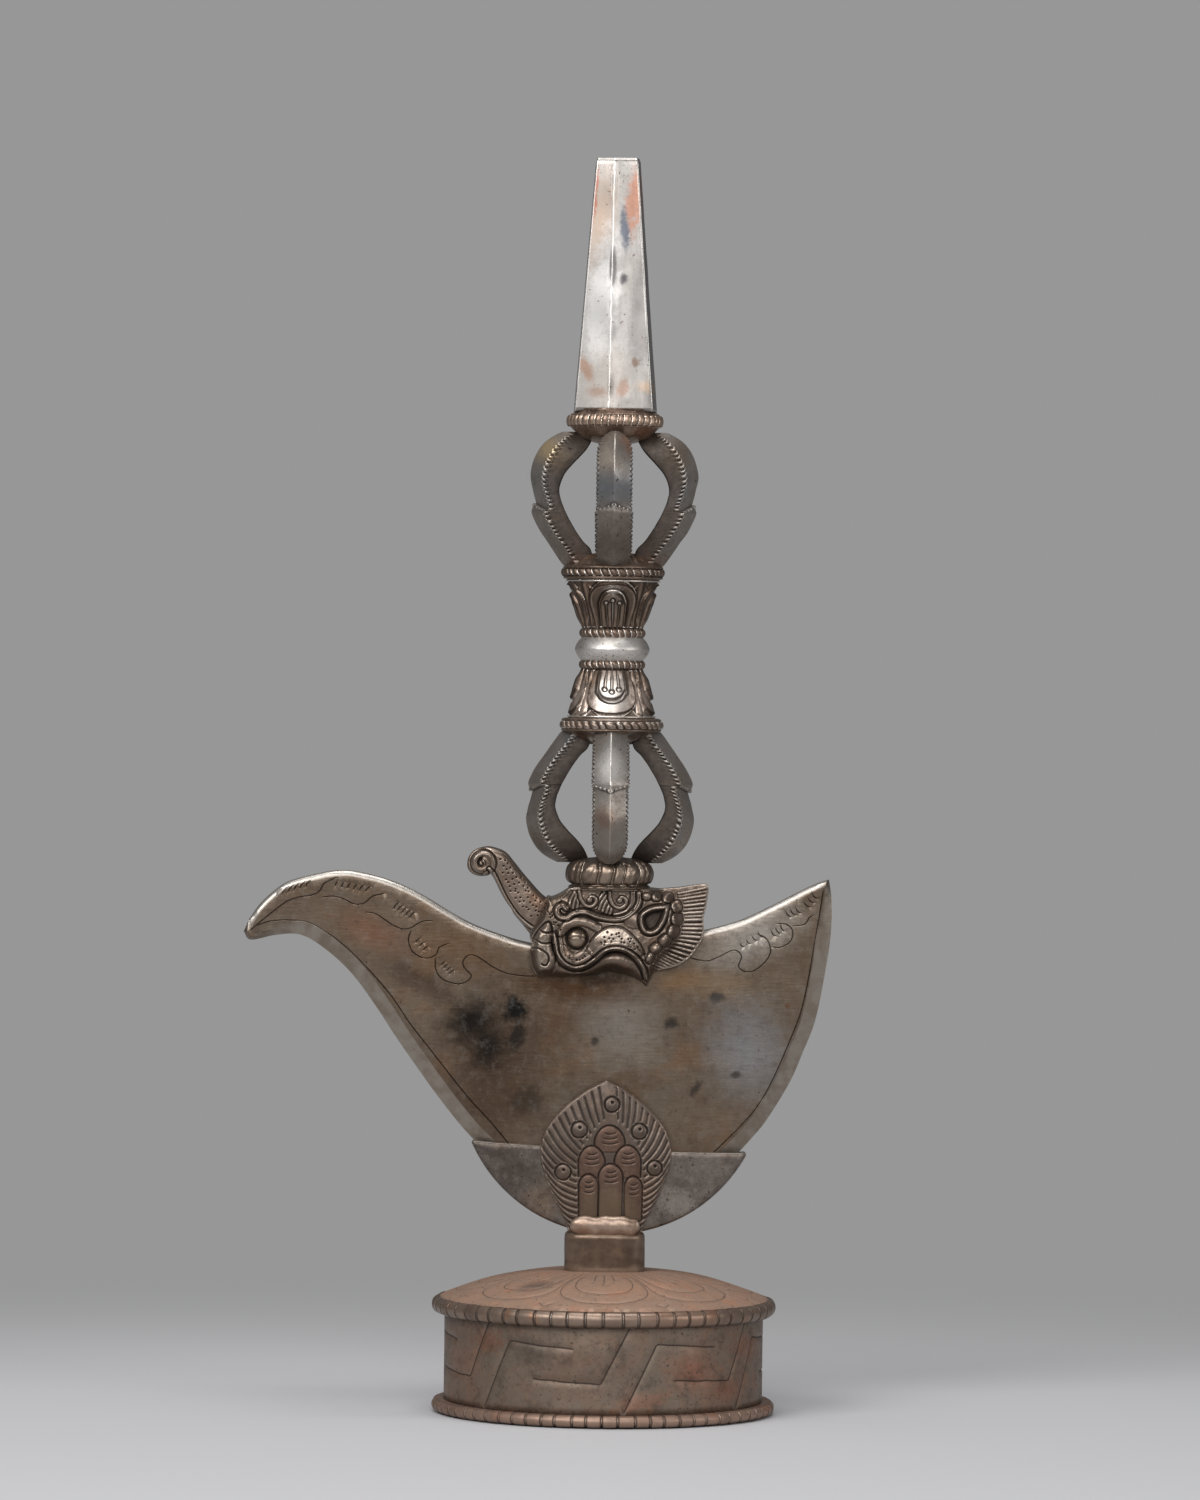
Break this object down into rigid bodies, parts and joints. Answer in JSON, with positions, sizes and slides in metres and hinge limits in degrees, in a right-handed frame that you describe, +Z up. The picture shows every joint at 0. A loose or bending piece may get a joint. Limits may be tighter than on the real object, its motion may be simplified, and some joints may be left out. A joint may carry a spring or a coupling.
{
  "type": "ritual chopper on stand",
  "caption": "Crescent ritual blade held by a makara head, with a double vajra grip and a long blunt spike, standing in a half-moon cradle on a drum-shaped base.",
  "frame": {"origin": "centre of the underside of the drum base", "axes": "+Z up along the grip and spike, +X towards the blade's short horn, -Y towards the viewer of the front"},
  "size_m": [0.2419, 0.1414, 0.515],
  "materials": {
    "foot_iron": "worn reddish brown patina",
    "drum_iron": "brushed, with rust patches",
    "lid_iron": "terracotta rust over grey iron",
    "rim_steel": "worn bright on the beads",
    "inner_steel": "plain",
    "neck_iron": "dark brown patina",
    "cradle_steel": "mottled dark patina, bright rim",
    "leaf_bronze": "brown with coppery scales",
    "braze_brass": "raw braze",
    "blade_steel": "mottled brown and grey, bright spine",
    "head_iron": "dark pewter with bright ridges",
    "eye_steel": "rubbed",
    "grip_iron": "pewter with dark recesses",
    "prong_steel": "bluish grey with brown heat tints",
    "knob_steel": "satin",
    "tip_bronze": "bronze brown",
    "spike_steel": "bright satin with pink rust patches"
  },
  "bodies": {
    "stand": {"base_ring": "foot_iron", "bottom_plate": "inner_steel", "drum_wall": "drum_iron", "lid_rim": "rim_steel", "lid_dome": "lid_iron", "neck_block": "neck_iron", "neck_washer": "inner_steel", "cradle_front": "cradle_steel", "cradle_back": "cradle_steel", "cradle_keel": "cradle_steel", "leaf_front": "leaf_bronze", "leaf_back": "leaf_bronze", "braze_front": "braze_brass", "braze_back": "braze_brass"},
    "chopper": {"blade": "blade_steel", "head_front": "head_iron", "head_back": "head_iron", "trunk": "head_iron", "eye_studs": "eye_steel", "tang_pins": "inner_steel", "neck_collar": "head_iron", "handle_rod": "inner_steel", "lower_prong_1": "prong_steel", "lower_prong_2": "prong_steel", "lower_prong_3": "prong_steel", "lower_prong_4": "prong_steel", "lower_hub_ring": "grip_iron", "lower_lotus": "grip_iron", "lower_bead_ring": "grip_iron", "grip_knob": "knob_steel", "upper_bead_ring": "grip_iron", "upper_lotus": "grip_iron", "upper_hub_ring": "grip_iron", "upper_prong_1": "prong_steel", "upper_prong_2": "prong_steel", "upper_prong_3": "prong_steel", "upper_prong_4": "prong_steel", "tip_collar": "tip_bronze", "spike": "spike_steel"}
  },
  "joints": [
    {"name": "chopper_lift", "type": "slide", "parent": "stand", "child": "chopper", "axis": [0, 0, 1], "range_m": [0, 0.1]}
  ]
}
